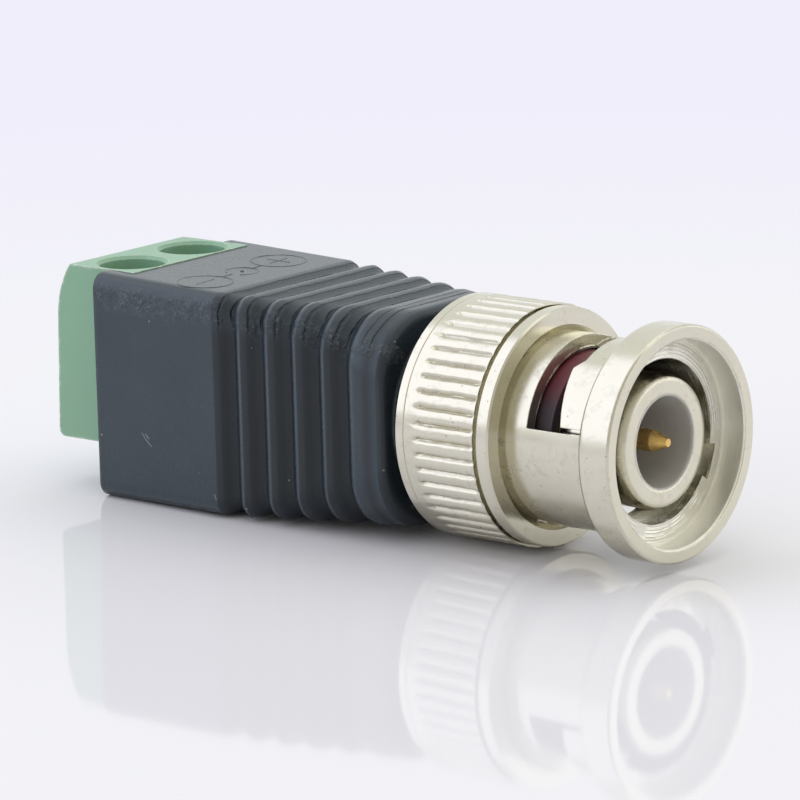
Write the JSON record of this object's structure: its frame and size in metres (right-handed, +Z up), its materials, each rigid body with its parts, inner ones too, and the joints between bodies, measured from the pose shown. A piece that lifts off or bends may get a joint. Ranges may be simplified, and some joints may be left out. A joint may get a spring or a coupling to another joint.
{
  "type": "bnc screw terminal adapter",
  "caption": "Coaxial bayonet plug with a knurled coupling nut, joined by a ribbed moulded housing to a two-way screw terminal block.",
  "frame": {"origin": "on the plug's axis, at the coupling nut's front face", "axes": "+X out of the plug along its axis, +Z up towards the clamp screws, +Y completes the frame"},
  "size_m": [0.0454, 0.0148, 0.0148],
  "materials": {
    "moulding": "dark slate soft PVC moulding",
    "block": "pale green polyamide",
    "nickel": "nickel plated, turned",
    "insulator": "white fluoropolymer",
    "gold": "gold plated",
    "gasket": "dark red silicone",
    "steel": "zinc plated",
    "tinned": "tinned copper alloy"
  },
  "bodies": {
    "adapter_body": {"moulded_housing": "moulding", "terminal_block": "block", "plug_body": "nickel", "rear_shell": "nickel", "insulator_front": "insulator", "insulator_rear": "insulator", "centre_pin": "gold", "gasket": "gasket", "wave_washer": "steel", "centre_lead": "tinned", "shell_lead": "tinned", "contact_tongue_a": "tinned", "contact_tongue_b": "tinned"},
    "thrust_ring": {"thrust_washer": "steel"},
    "coupling_nut": {"bayonet_sleeve": "nickel", "grip_ring": "nickel"},
    "screw_a": {"clamp_screw_a": "steel"},
    "screw_b": {"clamp_screw_b": "steel"},
    "cage_a": {"clamp_cage_a": "steel"},
    "cage_b": {"clamp_cage_b": "steel"}
  },
  "joints": [
    {"name": "coupling_slide", "type": "slide", "parent": "adapter_body", "child": "thrust_ring", "axis": [1, 0, 0], "range_m": [0, 0.0007], "stiffness_N_per_m": 4000, "springref_m": -0.0003, "deforming": ["wave_washer"]},
    {"name": "coupling_turn", "type": "hinge", "parent": "thrust_ring", "child": "coupling_nut", "pos_m": [-0.009, 0, 0], "axis": [1, 0, 0], "continuous": true},
    {"name": "cage_lift_a", "type": "slide", "parent": "adapter_body", "child": "cage_a", "axis": [0, 0, 1], "range_m": [0, 0.0012]},
    {"name": "screw_turn_a", "type": "hinge", "parent": "adapter_body", "child": "screw_a", "pos_m": [-0.041, -0.00285, 0.0046], "axis": [0, 0, -1], "range_deg": [0, 961]},
    {"name": "cage_lift_b", "type": "slide", "parent": "adapter_body", "child": "cage_b", "axis": [0, 0, 1], "range_m": [0, 0.0012]},
    {"name": "screw_turn_b", "type": "hinge", "parent": "adapter_body", "child": "screw_b", "pos_m": [-0.041, 0.00285, 0.0046], "axis": [0, 0, -1], "range_deg": [0, 961]}
  ],
  "couplings": [
    {"joint": "screw_turn_a", "follows": "cage_lift_a", "rad_per_m": 13963},
    {"joint": "screw_turn_b", "follows": "cage_lift_b", "rad_per_m": 13963}
  ]
}
